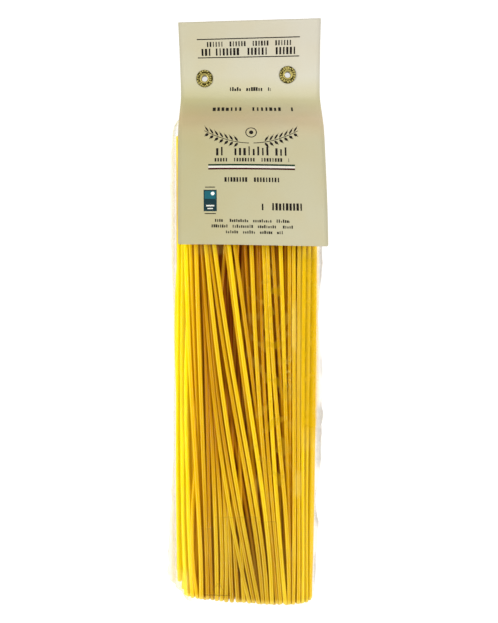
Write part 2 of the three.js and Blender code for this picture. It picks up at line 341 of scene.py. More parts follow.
class Finish:
    """A material under construction, with one method that adds any node."""

    def __init__(self, name):
        self.material = bpy.data.materials.new(name)
        self.material.use_nodes = True
        self.tree = self.material.node_tree
        self.tree.nodes.clear()
        self.output = self.node("ShaderNodeOutputMaterial")

    def node(self, kind, settings=None, *values, **named):
        return add_node(self.tree, kind, settings, *values, **named)

    def axes(self, vector):
        """The three numbers of a vector socket."""
        return [Wire(socket) for socket in self.node("ShaderNodeSeparateXYZ", Vector=vector).outputs]

    def vector(self, x, y, z=0.0):
        return self.node("ShaderNodeCombineXYZ", X=x, Y=y, Z=z).outputs[0]

    def object_place(self):
        return self.node("ShaderNodeTexCoord").outputs["Object"]

    def attribute(self, name):
        return Wire(self.node("ShaderNodeAttribute", {"attribute_name": name}).outputs["Fac"])

    def cloud(self, vector, scale, detail, roughness):
        """Noise from 0 to 1."""
        made = self.node("ShaderNodeTexNoise", {"noise_dimensions": "3D"}, Vector=vector, Scale=scale,
                         Detail=detail, Roughness=roughness)
        return Wire(made.outputs["Fac"])

    def chance(self, *numbers):
        """A steady random number for each set of whole numbers."""
        place = self.vector(*numbers)
        made = self.node("ShaderNodeTexWhiteNoise", {"noise_dimensions": "3D"}, Vector=place)
        return Wire(made.outputs["Value"])

    def ramp(self, share, stops):
        return self.node("ShaderNodeValToRGB", {"stops": stops}, Fac=share).outputs["Color"]

    def blend(self, share, a, b):
        """Colour a to colour b by share."""
        node = self.node("ShaderNodeMix", {"data_type": "RGBA"}, Factor=share, A=a, B=b)
        return next(socket for socket in node.outputs if socket.enabled)

    def scaled(self, colour, factor):
        """A colour times another one, part by part."""
        return self.node("ShaderNodeVectorMath", {"operation": "MULTIPLY"}, colour, factor).outputs[0]

    def shaded(self, share, colour, factor):
        """A colour that goes to its product with the factor by share."""
        return self.blend(share, colour, self.scaled(colour, factor))

    def mixed(self, share, a, b):
        """Shader a to shader b by share."""
        return self.node("ShaderNodeMixShader", None, share, a, b).outputs[0]

    def bump(self, height, distance, strength):
        made = self.node("ShaderNodeBump", Height=height, Distance=distance, Strength=strength)
        return made.outputs[0]

    def principled(self, **sockets):
        return self.node("ShaderNodeBsdfPrincipled", **sockets).outputs[0]

    def finish(self, shader):
        feed(self.output.inputs["Surface"], shader)
        return self.material


# Numbers at each point of a noodle: its own tint, y, place across it, depth in the bundle, how far
# it was laid under the top ones, and how near its end the point is.
POINT_MARKS = ("tint", "along", "flank", "depth", "layer", "tip")
# Colour factors of painted shade on a noodle, by depth over DEPTH_REACH mm and by layer over LAYER_REACH
# mm: darker and more amber where it lies deep or under the top ones.
DEPTH_REACH = 6.0
DEPTH_PAINTED_SHADE = ((0.0, 1.0), (0.22, 1.0), (0.42, (0.90, 0.78, 0.5)), (0.62, (0.66, 0.36, 0.1)),
                (1.0, (0.46, 0.17, 0.02)))
LAYER_REACH = 3.0
LAYER_PAINTED_SHADE = ((0.0, 1.0), (0.1, (0.97, 0.95, 1.0)), (0.3, (0.79, 0.655, 0.5)),
                (0.66, (0.67, 0.47, 0.3)), (1.0, (0.56, 0.36, 0.15)))


def pasta_finish(colours):
    """Semi-translucent durum pasta: a tint for each noodle, fine streaks, painted shade that turns it
    darker amber where it lies deep, and painted highlights and glow.
    """
    f = Finish("pasta")
    x, y, z = [axis * METRE for axis in f.axes(f.object_place())]
    tint, along, flank, depth, layer, tip = [f.attribute(name) for name in POINT_MARKS]
    streak = f.cloud(f.vector(flank * 1.9 + tint * 40.0, along * 0.035, tint * 17.0), 1.0, 3.0, 0.55)
    fleck = f.cloud(f.vector(x, y, z), 1.6, 2.0, 0.6)
    pale, dull = tinted(colours.pasta, (1.14, 1.24, 1.2)), tinted(colours.pasta, (0.84, 0.74, 0.7))
    colour = f.blend((tint * 0.8 + (streak - 0.5) * 1.8 + 0.1).clamped(), dull, pale)
    colour = f.blend(fleck.rise(0.60, 1.055) * 0.25, colour, (0.80, 0.58, 0.03))
    # The outermost noodles at the left and right are painted as lit through: painted light in lemon and
    # golden colours, with less of the painted shade.
    across = x - frame_shift().x * METRE
    upper = z.rise(10.67, 14.0)
    edge = across.rise(-31.52, -34.55) * upper
    far_edge = across.rise(26.8, 30.8) * upper
    warm = across.rise(-25.0, -30.0) * upper
    colour = f.blend(edge * 0.9, colour, (0.73, 0.585, 0.0015))
    colour = f.blend(far_edge * 0.7, colour, (0.76, 0.51, 0.001))
    # How much of the painted shade is kept: less in the outer bands.
    painted_shade_kept = 1.0 - (edge * 0.85).greatest(warm * 0.4) - far_edge * 0.5
    # Painted shade: darker and more amber deep in the bundle and under the top noodles.
    colour = f.shaded(painted_shade_kept, colour, f.ramp(depth / DEPTH_REACH, DEPTH_PAINTED_SHADE))
    colour = f.shaded(painted_shade_kept, colour, f.ramp(layer / LAYER_REACH, LAYER_PAINTED_SHADE))
    # A noodle on top gets painted shade down its flanks and two pale lines of painted highlight, stronger
    # near the foot.
    on_top = layer.rise(1.2, 0.2) * painted_shade_kept
    colour = f.shaded(abs(flank).rise(0.72, 0.97) * 0.6 * on_top, colour, (0.73, 0.52, 0.28))
    near_foot = along.rise(-96.0, -136.0)
    # Painted shade: darker across the middle of the bundle near the foot.
    foot_painted_shade = near_foot * abs(across + 1.5).rise(22.86, 8.57)
    colour = f.shaded(foot_painted_shade, colour, (0.72, 0.64, 0.8))
    # Painted highlights: two pale lines along each top noodle.
    lines = (abs(flank + 0.46) < 0.22).greatest((abs(flank - 0.48) < 0.15) * 0.5) * on_top
    colour = f.blend(lines * near_foot.times_add(0.12, 0.18), colour, (0.95, 0.76, 0.10))
    # Painted highlights: pale streaks on the noodles near the foot, and pale noodle ends.
    foot_painted_highlight = near_foot * (tint * 0.05 + streak.rise(0.52, 0.77) * 0.25)
    colour = f.blend((tip * 0.6 + foot_painted_highlight).clamped(), colour, (0.88, 0.68, 0.14))
    # Painted glow, standing in for light through the pasta: faint amber deep in the bundle, orange in the
    # warm band, lemon high on the outer left.
    glow = f.blend(depth.rise(2.0, 4.5), (0.0, 0.0, 0.0), (0.022, 0.0035, 0.0))
    glow = f.blend(warm, glow, (0.10, 0.042, 0.0))
    glow = f.blend(edge * z.rise(14.0, 19.0), glow, (0.21, 0.155, 0.0))
    lean = f.bump(streak * 0.7 + fleck * 0.3, 0.00003, 0.6)
    return f.finish(f.principled(
        Base_Color=colour, Roughness=0.14 + 0.08 * streak, IOR=1.45, Normal=lean, Specular_IOR_Level=0.10,
        Emission_Color=glow, Emission_Strength=1.0, Subsurface_Weight=0.15,
        Subsurface_Radius=(1.0, 0.5, 0.08), Subsurface_Scale=0.0006))


# How strongly the slack film at the right shows, as grey painted shade, over WISPS_LENGTH mm from
# WISPS_TOP to the foot.
WISPS_TOP, WISPS_LENGTH = 60.0, 220.0
FILM_WISPS = ((0.0, 0.2), (0.11, 1.0), (0.20, 0.9), (0.225, 0.0), (0.38, 0.0), (0.40, 0.35),
              (0.43, 0.35), (0.45, 0.0), (0.50, 0.0), (0.53, 0.8), (0.66, 0.8), (0.69, 0.1),
              (0.73, 0.1), (0.75, 1.0), (0.82, 1.0), (0.84, 0.15), (0.90, 0.15), (0.92, 0.9),
              (1.0, 0.9))
# Patches of the film: low and high x, low and high y, and the width of the soft rim in x and y. A glare's
# strength stands before its patch; a glare is painted as pale milk, a painted highlight, and also makes
# the film glossier.
GLARES = ((1.0, (22.8, 26.6, -26, 8, 1.4, 8.0)), (0.5, (26.4, 29.0, -48, 2, 1.0, 14.0)),
          (0.6, (24.0, 30.0, -104, -86, 1.6, 5.0)), (0.14, (-33, -9, 30.6, 60, 5.0, 1.6)),
          (0.5, (-44, -31, -170, -141, 3.0, 5.0)))
WRINKLED_PATCH = (26.5, 41.0, -78, 42, 3.0, 14.0)
FOLD_SHADE_PATCH = (-4, 31, -108, 32, 14.0, 16.0)
CREASED_PATCH = (19.5, 24.0, -50, -22, 0.8, 3.0)
FILM_HAZE = 0.004


def film_finish(name, rim_colours):
    """Thin clear film: see-through, glossier at a slant, milky where it is slack or doubled.

    The rim colours are painted on its slack folds on the left and on the right: on the main film painted
    light, pale yellow, at the left, and painted shade, grey, at the right.
    """
    f = Finish(name)
    place = f.object_place()
    shift = frame_shift()
    x, y, _ = f.axes(place)
    x, y = (x - shift.x) * METRE, (y - shift.y) * METRE
    streak = f.cloud(f.vector(x * 1.1, y * 0.045), 1.0, 2.0, 0.5)
    blotch = f.cloud(f.vector(x, y), 0.14, 1.0, 0.5)
    crumple = f.cloud(place, 150.0, 3.0, 0.55)
    line = f.cloud(f.vector(x + blotch * 3.0, y * 0.4), 0.55, 2.0, 0.5)

    def patch(low_x, high_x, low_y, high_y, soft_x, soft_y):
        inside = x.rise(low_x, low_x + soft_x) * x.rise(high_x, high_x - soft_x)
        return inside * y.rise(low_y, low_y + soft_y) * y.rise(high_y, high_y - soft_y)

    # Milk is how much of the film shows as milky: its haze, and patches of painted glare; a crease shows
    # as a thin line of painted shade.
    brightest, *glares = [patch(*where) * strength for strength, where in GLARES]
    glare = brightest.greatest(*glares)
    wrinkled = patch(*WRINKLED_PATCH)
    # Painted shade: darker amber patches over the film's folds.
    fold_shade = blotch.rise(0.53, 0.601) * patch(*FOLD_SHADE_PATCH)
    creased = patch(*CREASED_PATCH)
    milk_and_glare = FILM_HAZE + glare * (0.1 + streak * 0.6) + streak.rise(0.56, 0.893) * 0.02
    milk_and_glare = (milk_and_glare + wrinkled * (0.22 + blotch * 0.40)).greatest(fold_shade * 0.22)
    # Painted highlight and shade of the creases: a pale line beside a thin dark line.
    milk_and_glare = milk_and_glare + (abs(line - 0.53) < 0.020) * creased * 0.3
    crease = (abs(line - 0.49) < 0.016) * creased
    # Two creases of the foot flap, as lines of painted shade: a low gable, and a bar under it.
    off_gable = abs(x + 16.9)
    gable = abs(y + off_gable * 1.35 + 148.5 + (line - 0.5) * 4.0) < 0.25
    bar = abs(y + 155.1 + (line - 0.5) * 1.5) < 0.25
    crease = crease.greatest(gable * (off_gable < 3.2) * 0.35, bar * (off_gable < 6.8) * 0.45)
    left_side = x.rise(-20.0, -40.0)
    windows = Wire(f.ramp((WISPS_TOP - y) / WISPS_LENGTH, FILM_WISPS))
    loose = f.attribute("loose") * windows.greatest(left_side)
    rim = loose * (0.16 + 0.6 * crumple + left_side * 0.2)
    # Milk colour: pale yellow, the pasta's light painted into the film's haze and glare; golden over the
    # wrinkled patch.
    colour = f.blend(wrinkled, (0.92, 0.72, 0.13), (0.80, 0.50, 0.004))
    # Painted shade of the folds: amber over the fold shade patches, less under a glare.
    colour = f.blend(fold_shade * (1.0 - glare * 0.8), colour, (0.66, 0.40, 0.002))
    # Painted shade: the crease lines darken the film to deep amber.
    colour = f.blend(crease.rise(0.0, 0.5), colour, (0.26, 0.12, 0.005))
    # Painted light and shade on the slack folds: pale yellow at the left, whitish at its outer edge, grey
    # at the right.
    left_rim = f.blend(x.rise(-42.4, -44.6), rim_colours[0], (0.96, 0.93, 0.80))
    colour = f.blend(loose.rise(0.0, 0.25), colour, f.blend(left_side, rim_colours[1], left_rim))
    body = f.principled(Base_Color=colour, Roughness=0.6, Specular_IOR_Level=0.0)
    clear = f.node("ShaderNodeBsdfTransparent", Color=(0.99, 0.99, 0.985)).outputs[0]
    lean = f.bump(crumple, 0.0009, 0.4)
    gloss = f.node("ShaderNodeBsdfAnisotropic", {"distribution": "GGX"}, Color=(1, 1, 1), Roughness=0.2,
                   Normal=lean).outputs[0]
    slant = Wire(f.node("ShaderNodeLayerWeight", Blend=0.5, Normal=lean).outputs["Facing"])
    edge = (slant * slant) * (slant * slant) * 3.0 + 0.02
    sheen = 0.05 + glare * 0.12 + streak.rise(0.55, 0.80) * 0.10
    seen = milk_and_glare.greatest(crease * 0.45, rim).clamped()
    return f.finish(f.mixed((edge * sheen).clamped(), f.mixed(seen, clear, body), gloss))


class Print:
    """Flat shapes printed on the card, in millimetres across (u) and up from the free edge (v)."""

    def __init__(self, f, u, v):
        self.f = f
        self.u = u
        self.v = v

    def bar(self, u, v, width, height):
        return (abs(self.u - u) < width / 2) * (abs(self.v - v) < height / 2)

    def disc(self, u, v, radius):
        across, up = self.u - u, self.v - v
        return (across * across + up * up) < radius * radius

    def lines(self, rows):
        """Rows of plain upright strokes, broken into groups."""
        rows = sorted(rows, key=lambda row: row[1])
        chosen = [*rows[0], 0.0]
        for below, above in zip(rows, rows[1:]):
            is_above = self.v > (below[1] + above[1]) / 2
            steps = [b - a for a, b in zip(below, above)] + [1.0]
            chosen = [is_above.times_add(step, value) for step, value in zip(steps, chosen)]
        u, v, width, height, pitch, weight, even, number = chosen
        start = self.u - u + width * 0.5
        place = start / pitch
        cell, within = place.floor(), place.fract()
        up = (self.v - v) / height + 0.5
        thick = self.f.chance(cell, number, 0.0)
        low = (self.f.chance(cell, number, 1.0) - even).clamped() * 0.4
        stroke = (abs(within - 0.5) < weight * (0.14 + 0.16 * thick)) * (up < 1.0 - low)
        word_length = (number * 0.9).fract().times_add(4.0, 8.0)
        word = (number * 2.3 + (cell + 0.5) / word_length).fract() > 0.19
        return stroke * word * (up > 0.0) * (start > 0.0) * (start < width)

    def ears(self, u, v, reach, rise):
        """Two ears of wheat that curve up from the middle."""
        stem_start, ear_start, pitch = 1.2, 7.0, 2.7
        across = abs(self.u - u)
        off = self.v - (v + across * across * (rise / reach ** 2))
        stem = (abs(off) < 0.22) * (across < reach) * (across > stem_start)
        along = (((across - ear_start) / pitch).fract() - 0.5) * pitch
        side = abs(off) - 1.75
        a = along * 0.80 - side * 0.60
        b = along * 0.60 + side * 0.80
        grain = ((a / 0.62) ** 2.0 + (b / 1.45) ** 2.0) < 1.0
        beard = (abs(a) < 0.13) * (side > 0.0) * (side < 3.1)
        body = (across > ear_start) * (across < reach)
        return stem.greatest(grain.greatest(beard) * body)


CARD_LENGTH = 139.0         # front flap and slope, up to the fold
# Colour factors of the card from its free edge to the fold: painted light and shade along the slope and
# the bend.
CARD_LIGHT_AND_SHADE = ((0.0, (0.834, 0.841, 0.727)), (0.42, (0.811, 0.808, 0.659)), (0.54, (0.943, 0.837, 0.677)),
              (0.68, (0.899, 0.903, 0.697)), (0.79, (0.953, 0.978, 1.0)), (0.92, (0.924, 0.934, 0.953)))
# Rows of strokes: middle u and v, width, height, pitch, weight, and 1 for strokes of even height.
STROKE_ROWS = (
    (-0.8, 127.5, 55.4, 2.7, 1.65, 1.1, 1), (-0.8, 123.3, 55.4, 3.9, 2.05, 1.25, 1),
    (-0.2, 102.6, 24.3, 2.4, 1.4, 1.5, 0), (-0.2, 85.6, 49.0, 4.2, 2.5, 1.2, 0.7),
    (0.0, 52.2, 40.0, 5.4, 2.5, 1.0, 0.3), (0.0, 47.2, 41.0, 2.1, 1.5, 1.25, 1),
    (0.2, 35.9, 30.6, 2.6, 1.6, 1.3, 1), (15.9, 21.0, 22.4, 4.0, 1.9, 1.3, 0.6),
    (-0.2, 13.2, 40.6, 1.8, 1.15, 1.45, 0), (-0.2, 10.1, 44.4, 1.8, 1.14, 1.45, 0),
    (-0.2, 7.0, 33.6, 1.8, 1.16, 1.45, 0))
RULES = ((-0.8, 130.3, 59.5, 0.55), (-0.8, 120.3, 59.0, 0.55), (-22.8, 31.6, 5.6, 0.5),
         (-22.8, 16.8, 6.2, 0.5))
SEAL = (0.0, 63.4)
SEAL_RADII = (3.2, 2.65, 1.2)
# Coloured bars: middle u and v, width, height and colour. The first three are the stripes, and
# the others the panel's fields.
BARS = ((0.0, 44.3, 47.5, 1.0, (0.004, 0.028, 0.010)), (0.0, 43.2, 47.5, 1.2, (0.62, 0.58, 0.50)),
        (0.0, 42.1, 47.5, 1.0, (0.040, 0.003, 0.005)), (-22.8, 24.1, 7.2, 12.0, (0.008, 0.030, 0.036)),
        (-22.8, 27.2, 6.0, 4.4, (0.012, 0.100, 0.125)), (-22.8, 21.2, 4.4, 0.8, (0.62, 0.62, 0.55)),
        (-22.8, 19.6, 3.0, 0.6, (0.62, 0.62, 0.55)))
PANEL_DOT = (-21.4, 28.0, 1.0)


def card_finish(colours):
    """Cream card with a fine tooth, generic print on the front flap, and painted light and shade along the
    bend and from left to right.
    """
    f = Finish("card_front")
    u, v, _ = [axis * METRE for axis in f.axes(f.node("ShaderNodeUVMap", {"uv_map": "sheet"}).outputs[0])]
    fibre = f.cloud(f.vector(u, v), 0.9, 4.0, 0.65)
    mottle = f.cloud(f.vector(u, v), 0.045, 2.0, 0.5)
    # Painted light and shade along the card, from its free edge to the fold.
    paper = f.scaled(f.ramp(v / CARD_LENGTH, CARD_LIGHT_AND_SHADE), colours.card)
    paper = f.shaded(mottle.rise(0.4, 0.9), paper, (1.0, 0.95, 0.86))
    paper = f.shaded((fibre - 0.5) * 0.30 + 0.10, paper, (0.9, 0.89, 0.86))
    # Painted light: the paper darker and yellower at the left, lighter at the right.
    left, right = f.scaled(paper, (0.96, 0.945, 0.86)), f.scaled(paper, (1.045, 1.04, 1.085))
    paper = f.blend(u.rise(-30.0, 30.0), left, right)
    p = Print(f, u, v)
    outer, inner, core = [p.disc(*SEAL, radius) for radius in SEAL_RADII]
    rules = [p.bar(*rule) for rule in RULES]
    dark = p.lines(STROKE_ROWS).greatest(p.ears(0.0, 56.9, 26.0, 8.0), outer * (1.0 - inner), core, *rules)
    printed = f.blend(dark, paper, colours.ink)
    for *place, colour in BARS:
        printed = f.blend(p.bar(*place), printed, colour)
    printed = f.blend(p.disc(*PANEL_DOT), printed, (0.75, 0.78, 0.72))
    return f.finish(f.principled(
        Base_Color=printed, Roughness=0.50 + 0.12 * fibre, IOR=1.45, Specular_IOR_Level=0.1,
        Normal=f.bump(fibre, 0.00004, 0.5)))


def plain_card_finish(colours):
    """The card's bare inside and cut edges."""
    f = Finish("card_bare")
    fibre = f.cloud(f.object_place(), 900.0, 4.0, 0.65)
    paper = f.blend(fibre * 0.3, colours.card, tinted(colours.card, (0.88, 0.86, 0.80)))
    return f.finish(f.principled(
        Base_Color=paper, Roughness=0.72, IOR=1.45, Normal=f.bump(fibre, 0.00005, 0.5)))


def brass_finish(colours):
    """Stamped brass, brighter on the raised marks and darker in the hollows."""
    f = Finish("brass")
    relief = f.attribute("relief")
    grime = f.cloud(f.object_place(), 900.0, 4.0, 0.6)
    darkness = (grime * 0.5 + (1.0 - relief) * 0.95 - 0.15).clamped()
    metal = f.blend(darkness, colours.brass, tinted(colours.brass, (0.14, 0.13, 0.05)))
    return f.finish(f.principled(
        Base_Color=metal, Metallic=0.8, Roughness=0.34 + 0.25 * grime,
        Normal=f.bump(grime, 0.00003, 0.5)))


def floor_finish():
    """A matt floor, pale and with a glow of its own."""
    f = Finish("floor")
    tone = f.cloud(f.object_place(), 2.0, 2.0, 0.5)
    colour = f.blend(tone, (0.36, 0.36, 0.358), (0.38, 0.38, 0.378))
    return f.finish(f.principled(
        Base_Color=colour, Roughness=0.9, Specular_IOR_Level=0.1, Emission_Color=(1, 1, 1),
        Emission_Strength=0.72))


# ------------------------------ making and placing pieces


def new_piece(name, bm, material, smooth=True):
    """A mesh object from a bmesh, in the scene's collection."""
    mesh = bpy.data.meshes.new(name)
    bm.to_mesh(mesh)
    bm.free()
    return link_piece(name, mesh, material, smooth)


def link_piece(name, mesh, material, smooth=True):
    piece = bpy.data.objects.new(name, mesh)
    bpy.context.scene.collection.objects.link(piece)
    mesh.materials.append(material)
    mesh.polygons.foreach_set("use_smooth", [smooth] * len(mesh.polygons))
    return piece


def settle(piece):
    """Turns a piece's modifiers into its own mesh."""
    depsgraph = bpy.context.evaluated_depsgraph_get()
    mesh = bpy.data.meshes.new_from_object(piece.evaluated_get(depsgraph))
    piece.modifiers.clear()
    old = piece.data
    piece.data = mesh
    bpy.data.meshes.remove(old)
    piece.data.name = piece.name


def to_frame(piece):
    """Takes a piece's mesh from the pack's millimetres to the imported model's frame in metres."""
    piece.data.transform(Matrix.Translation(frame_shift()) @ Matrix.Scale(MM, 4))
    piece.data.update()


def mark_points(piece, name, values):
    """Gives a mesh piece a number at each of its points."""
    piece.data.attributes.new(name, "FLOAT", "POINT").data.foreach_set("value", values)


def thicken(piece, thickness, offset):
    """Adds a sheet's thickness, still as a modifier."""
    sheet = piece.modifiers.new("thickness", "SOLIDIFY")
    sheet.thickness = thickness
    sheet.offset = offset
    return sheet


def grow(bm, edges):
    """Extrudes a ring of open edges once; returns the new vertices and edges."""
    grown = bmesh.ops.extrude_edge_only(bm, edges=edges)["geom"]
    verts = [v for v in grown if isinstance(v, bmesh.types.BMVert)]
    edges = [e for e in grown if isinstance(e, bmesh.types.BMEdge) and all(v in verts for v in e.verts)]
    return verts, edges


def fill_rings(bm, *rings):
    """Closes a tube at its open rings."""
    for edges in rings:
        bmesh.ops.edgeloop_fill(bm, edges=edges)


def header_matrix(x, y):
    """Places a shape that points up +Z square on the header at (x, y)."""
    height, slope = header_at(y)
    return Matrix.Translation((x, y, height)) @ Matrix.Rotation(slope, 4, "X")


def bore_eyelets(piece, radius):
    """Cuts the two eyelet holes through a sheet."""
    bm = bmesh.new()
    for x, y in EYELETS.values():
        bmesh.ops.create_cone(bm, cap_ends=True, segments=32, radius1=radius, radius2=radius, depth=14,
                              matrix=header_matrix(x, y))
    cutter = new_piece("eyelet_cutter", bm, piece.data.materials[0])
    cut = piece.modifiers.new("eyelet_holes", "BOOLEAN")
    cut.operation = "DIFFERENCE"
    cut.solver = "EXACT"
    cut.object = cutter
    settle(piece)
    bpy.data.objects.remove(cutter)


# ------------------------------ noodles

# Noodles that show from the front: x at each of these places along the bag, and how far the noodle
# lies under the top, at the card and at the foot.
ROUTE_PLACES = (34.0, -62.0, -105.0, -158.0)
ROUTES = (
    (-39.2, -39.9, -39.8, -38.6, 0.0, 0.0), (-36.9, -37.3, -36.8, -34.8, 0.9, 0.2),
    (-35.1, -30.9, -28.2, -26.2, 0.0, 0.0), (-33.6, -34.2, -33.7, -31.2, 2.2, 0.2),
    (-32.4, -28.0, -30.9, -28.8, 3.0, 0.6), (-29.5, -25.9, -24.4, -22.6, 0.0, 0.9),
    (-26.6, -22.9, -22.0, -20.2, 2.0, 1.0), (-24.0, -20.8, -18.9, -17.6, 2.8, 0.0),
    (-25.7, -17.6, -11.3, -0.4, 2.0, 0.0), (-22.6, -14.9, -7.9, 2.3, 1.9, 0.2),
    (-23.8, -12.2, -5.3, 4.9, 0.0, 0.0), (-21.2, -6.5, 0.9, 7.6, 1.3, 0.5),
    (-18.6, -3.7, 3.7, 10.1, 0.0, 0.0), (-12.4, -0.8, 5.2, 9.0, 0.9, 2.0),
    (-10.6, 2.1, 8.1, 12.6, 0.0, 0.1), (-7.7, 4.6, 9.4, 13.6, 0.7, 2.3),
    (-1.7, 3.6, 7.2, 11.4, 1.9, 2.8), (1.6, 6.6, 10.2, 15.1, 0.0, 0.8),
    (4.4, 8.2, 11.4, 16.2, 2.0, 2.6), (6.6, 9.4, 12.8, 17.2, 1.9, 0.4),
    (8.3, 12.5, 15.3, 19.7, 0.6, 0.0), (10.6, 16.0, 19.7, 22.3, 0.0, 0.1),
    (12.9, 18.5, 21.2, 23.0, 0.9, 2.2), (17.5, 20.3, 21.6, 23.6, 0.0, 1.6),
    (20.1, 22.0, 22.6, 24.2, 2.0, 2.6), (22.4, 22.5, 22.9, 24.0, 0.8, 2.2),
    (24.9, 24.9, 25.0, 24.9, 0.0, 0.0), (27.9, 27.1, 27.3, 27.3, 0.1, 0.0),
    (30.7, 29.6, 29.6, 29.6, 0.1, 0.0), (33.4, 32.2, 31.8, 31.8, 0.2, 0.1),
    (36.0, 34.8, 34.1, 33.8, 0.4, 0.4), (-20.6, -18.6, -16.0, -15.0, 3.6, 0.0),
    (-17.2, -15.4, -13.4, -12.4, 3.6, 0.1), (-13.8, -12.4, -11.4, -9.5, 4.0, 0.0),
    (-10.4, -9.6, -8.8, -6.3, 4.4, 0.1), (-6.6, -5.4, -4.8, -3.0, 4.6, 0.1),
    (-32.3, -28.4, -26.3, -24.4, 0.7, 2.4), (-22.4, -9.3, -2.2, 6.2, 3.2, 1.7),
    (-15.6, -8.6, -3.4, 0.8, 3.8, 3.4),
)
STATIONS = np.linspace(NECK_END, FOOT_END, 25)      # places along the bag where noodles push
WALL_GAP = 0.1              # between the outer noodles and the bundle's outside
NOODLE_GAP = 0.02
ROUNDS = 170
PUSH = 0.42                 # share of an overlap that each of two noodles yields in a round
FIRMNESS_X = 0.9            # how strongly the front noodles come back to their routes
FIRMNESS_Z = 0.5
STIFFNESS = 0.7             # how strongly a bent noodle straightens in a round
FRONT_ROOM = 2.6            # kept free of hidden noodles under the middle front ones


def hidden_starts(count, rng):
    """Places in the section for the noodles beneath, in staggered rows, thinned to the count."""
    pitch_x, pitch_z = 2.74, 2.38
    middle = BUNDLE_HEIGHT / 2 - 1.3
    spots = []
    for row in range(-5, 5):
        half = (NECK_HALF_WIDTH - 1.6) * section_rise(row * pitch_z / (BUNDLE_HEIGHT / 2))
        number = int(2 * half / pitch_x)
        offset = 0.5 + 0.25 * (row % 2)
        for i in range(number):
            spots.append((NECK_AXIS_X - half + (i + offset) * 2 * half / number, middle + row * pitch_z))
    # The upper ones left of the middle all stay, and the others are thinned by chance.
    chance = rng.permutation(len(spots))
    order = sorted(range(len(spots)), key=lambda i: (spots[i][0] > 4 or spots[i][1] < 12, chance[i]))
    return [spots[i] for i in sorted(order[:count])]


def lay_noodles(hidden, share, inset, rng):
    """Each noodle's x, height and depth under the top at the stations, before they push."""
    x = np.zeros((len(ROUTES) + len(hidden), len(STATIONS)))
    z, sunk = np.zeros_like(x), np.zeros_like(x)
    down = smoothstep(STATIONS, ROUTE_PLACES[0], ROUTE_PLACES[-1])
    above = STATIONS > ROUTE_PLACES[0]
    for i, (*places, sunk_top, sunk_foot) in enumerate(ROUTES):
        bends = 3 if sunk_foot < 2 else 2
        x[i] = np.polyval(np.polyfit(ROUTE_PLACES, places, bends), STATIONS)
        slope = (places[0] - places[1]) / (ROUTE_PLACES[0] - ROUTE_PLACES[1])
        x[i, above] = places[0] + slope * (STATIONS[above] - ROUTE_PLACES[0])
        sunk[i] = lerp(sunk_top, sunk_foot, down)
        z[i] = crown_height(x[i], STATIONS, inset) - sunk[i]
    for i, (start, height) in enumerate(hidden, len(ROUTES)):
        # The higher and the nearer the middle it lies, the more it leans like the front ones.
        swing = 3.2 * math.exp(-((start + 3) / 24) ** 2) * max(height - 8, 0) / 16
        lean = rng.normal(0, 0.7) - swing
        bow = rng.normal(0, 0.4) * (1 - share ** 2)
        x[i] = start + axis_x(STATIONS) - NECK_AXIS_X + lean * share + bow
        z[i] = height + rng.normal(0, 0.2)
    return x, z, sunk


def overlap_pushes(x, z, gap):
    """How far the noodles that overlap push each other apart, across and up."""
    push_x, push_z = np.zeros_like(x), np.zeros_like(z)
    for s in range(len(STATIONS)):
        dx = x[:, None, s] - x[None, :, s]
        dz = z[:, None, s] - z[None, :, s]
        far = np.hypot(dx, dz) + 1e-6
        over = np.maximum(gap - far, 0)
        np.fill_diagonal(over, 0)
        push_x[:, s] = (over * dx / far).sum(1) * PUSH
        push_z[:, s] = (over * dz / far).sum(1) * PUSH
    return push_x, push_z


def pack_noodles(count, diameter, seed):
    """Lets the noodles push each other apart inside the bag.

    Returns for each noodle polynomials in y: its x, its z, and how far it was laid under the top.
    """
    rng = np.random.default_rng(seed)
    inset = diameter / 2 + WALL_GAP
    share = (STATIONS - np.mean(STATIONS)) / (NOODLE_LENGTH / 2)
    x, z, sunk = lay_noodles(hidden_starts(count - len(ROUTES), rng), share, inset, rng)
    basis_x, basis_z = np.vander(share, 4), np.vander(share, 5)
    smooth_x, smooth_z = basis_x @ np.linalg.pinv(basis_x), basis_z @ np.linalg.pinv(basis_z)
    is_shown = np.arange(len(x)) < len(ROUTES)
    low, high = floor_height(STATIONS) + inset, top_height(STATIONS) - inset
    centre, half_z, half_x = (low + high) / 2, (high - low) / 2, half_width(STATIONS) - inset
    axis = axis_x(STATIONS)
    keep_x, keep_z = x[is_shown].copy(), z[is_shown].copy()
    for _ in range(ROUNDS):
        push_x, push_z = overlap_pushes(x, z, diameter + NOODLE_GAP)
        x += push_x
        z += push_z
        x[is_shown] = lerp(x[is_shown], keep_x, FIRMNESS_X)
        z[is_shown] = lerp(z[is_shown], keep_z, FIRMNESS_Z)
        x[~is_shown] = lerp(x[~is_shown], x[~is_shown] @ smooth_x.T, STIFFNESS)
        z = lerp(z, z @ smooth_z.T, STIFFNESS)
        inner = (1 - smoothstep(np.abs(x - axis), 26, 34)) * smoothstep(STATIONS, -154, -116)
        room = np.where(is_shown[:, None] | (z < centre), half_z, half_z - FRONT_ROOM * inner)
        pull = 1 / np.maximum(section_reach((x - axis) / half_x, (z - centre) / room), 1)
        x = axis + (x - axis) * pull
        z = centre + (z - centre) * pull
    return [[np.polyfit(STATIONS, values, 4) for values in lines] for lines in zip(x, z, sunk)]


